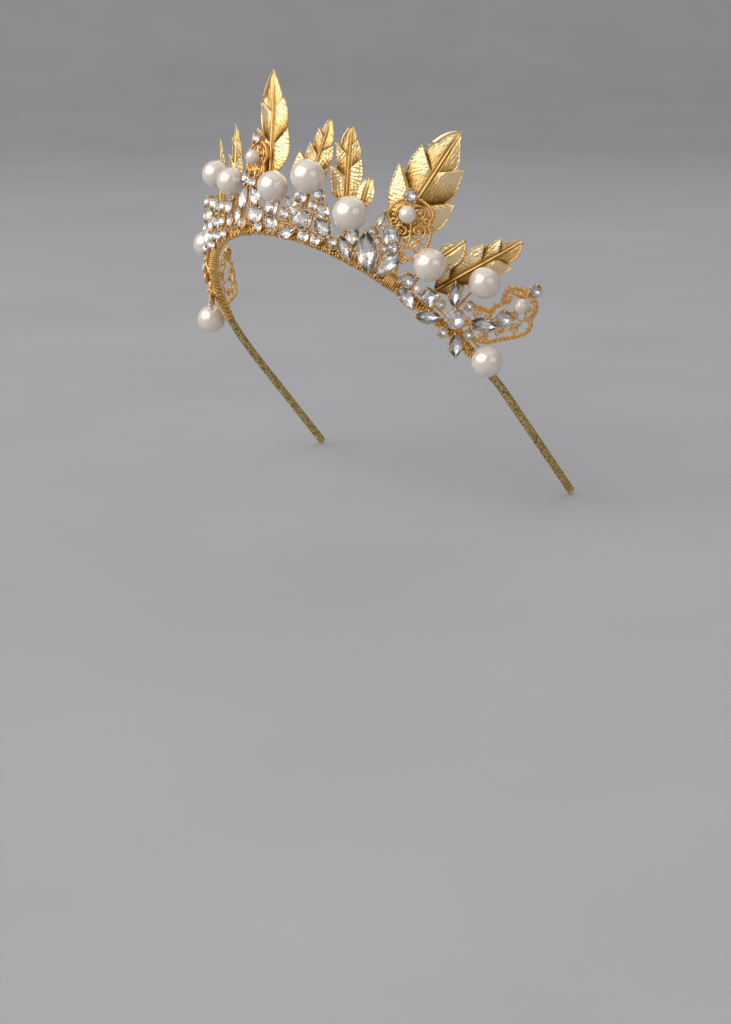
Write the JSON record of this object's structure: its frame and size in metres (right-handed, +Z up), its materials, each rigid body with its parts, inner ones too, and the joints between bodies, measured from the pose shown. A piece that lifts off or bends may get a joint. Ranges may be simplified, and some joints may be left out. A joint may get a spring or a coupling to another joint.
{
  "type": "tiara",
  "caption": "Bridal tiara: a thread-wrapped headband carrying claw-set crystals, pearls on wire stems, filigree scrolls and stamped metal leaves.",
  "frame": {"origin": "centre of the band's arch, midway between the two arms and inside the wearer's head", "axes": "+Z up as worn, -Y the way the wearer faces, +X the wearer's left"},
  "size_m": [0.1565, 0.1, 0.1549],
  "materials": {
    "core_steel": "drawn flat steel wire, hidden inside the wrap",
    "gold_thread": "metallic gold thread wound tightly round the band, glittery",
    "gold": "polished gold-plated brass",
    "antique_gold": "satin antique-gold plated stamped brass, bright worn edges",
    "pearl": "cream pearl lacquer over a moulded bead, soft lustre",
    "crystal": "clear faceted crystal with a silver foil back"
  },
  "bodies": {
    "root": {"band_core": "core_steel", "band_wrap": "gold_thread", "crystal_centre_round": "crystal", "crystal_far_round": "crystal", "crystal_flower_centre": "crystal", "crystal_front_pear": "crystal", "crystal_front_round": "crystal", "crystal_petal_back": "crystal", "crystal_petal_front": "crystal", "crystal_petal_lower": "crystal", "crystal_petal_upper": "crystal", "crystal_side_round": "crystal", "crystal_temple_navette": "crystal", "crystal_temple_navette_large": "crystal", "crystal_temple_pear": "crystal", "crystal_temple_square": "crystal", "crystal_trio_square": "crystal", "filigree_centre": "gold", "filigree_far_side": "gold", "filigree_side": "gold", "filigree_temple": "gold", "lashing_centre": "gold", "lashing_far": "gold", "lashing_front": "gold", "lashing_temple": "gold", "leaf_centre": "antique_gold", "leaf_far_front": "antique_gold", "leaf_far_side": "antique_gold", "leaf_far_temple": "antique_gold", "leaf_front": "antique_gold", "leaf_front_small": "antique_gold", "leaf_gap": "antique_gold", "leaf_side": "antique_gold", "leaf_temple_large": "antique_gold", "leaf_temple_small": "antique_gold", "pearl_centre": "pearl", "pearl_far_end": "pearl", "pearl_far_front": "pearl", "pearl_far_side": "pearl", "pearl_far_upper": "pearl", "pearl_front_high": "pearl", "pearl_front_low": "pearl", "pearl_seed": "pearl", "pearl_side_end": "pearl", "pearl_side_upper": "pearl", "pearl_small_centre": "pearl", "pearl_small_far_side": "pearl", "pearl_small_side": "pearl", "pearl_small_temple": "pearl", "pearl_temple": "pearl", "setting_centre": "gold", "setting_far": "gold", "setting_far_flower": "gold", "setting_far_front": "gold", "setting_flower": "gold", "setting_front": "gold", "setting_temple": "gold", "setting_trio": "gold"}
  },
  "joints": []
}
